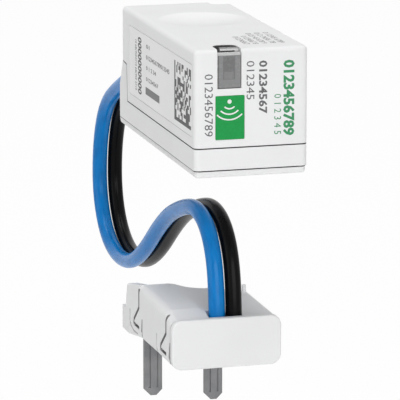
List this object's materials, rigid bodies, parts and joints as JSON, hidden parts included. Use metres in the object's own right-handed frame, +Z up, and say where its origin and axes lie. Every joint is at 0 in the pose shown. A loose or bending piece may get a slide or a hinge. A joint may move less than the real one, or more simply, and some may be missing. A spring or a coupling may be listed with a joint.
{
  "type": "smart energy monitor",
  "caption": "Rail-module energy sensor: a boxy wireless sensing head joined by a blue and a black lead to a low plug with flat blade pins.",
  "frame": {"origin": "midway between the two plug pins, on the underside of the plug", "axes": "+X along the module's width, +Y from the front plate to the back, +Z up from the plug to the head"},
  "size_m": [0.0182, 0.0947, 0.0656],
  "materials": {
    "white_plastic": "satin moulded",
    "smoked_lens": "glossy translucent grey",
    "clear_guide": "clear moulded",
    "indicator": "diffuse package",
    "circuit_board": "solder mask",
    "tinned_sheet": "tinned",
    "ferrite": "matt sintered",
    "black_plastic": "moulded",
    "copper_wire": "bare copper",
    "capacitor_box": "moulded box",
    "capacitor_sleeve": "shrunk sleeve",
    "resistor_body": "lacquered",
    "brass": "plain",
    "grey_plastic": "moulded",
    "label_film": "satin film",
    "green_badge": "printed",
    "blue_insulation": "satin extruded",
    "black_insulation": "satin extruded",
    "pin_metal": "plated"
  },
  "bodies": {
    "plug": {"plug_cover": "white_plastic", "plug_base": "white_plastic", "rear_pin": "pin_metal", "front_pin": "pin_metal", "pin_crimps": "brass", "plug_gland": "grey_plastic", "plug_conductors": "copper_wire"},
    "sensor_head": {"head_cover": "white_plastic", "head_housing": "white_plastic", "head_base": "white_plastic", "status_lens": "smoked_lens", "light_guide": "clear_guide", "status_led": "indicator", "main_board": "circuit_board", "radio_shield": "tinned_sheet", "antenna": "tinned_sheet", "pickup_core": "ferrite", "pickup_spool": "black_plastic", "pickup_winding": "copper_wire", "supply_capacitor": "capacitor_box", "storage_capacitor": "capacitor_sleeve", "safety_resistor": "resistor_body", "lead_terminals": "brass", "lead_gland": "grey_plastic", "head_conductors": "copper_wire", "side_label": "label_film", "front_badge": "green_badge", "blue_lead": "blue_insulation", "black_lead": "black_insulation"}
  },
  "joints": [
    {"name": "lead_flex", "type": "hinge", "parent": "plug", "child": "sensor_head", "pos_m": [0.00045, -0.006, 0.0228], "axis": [1, 0, 0], "range_deg": [-20, 20], "deforming": ["blue_lead", "black_lead"]}
  ]
}
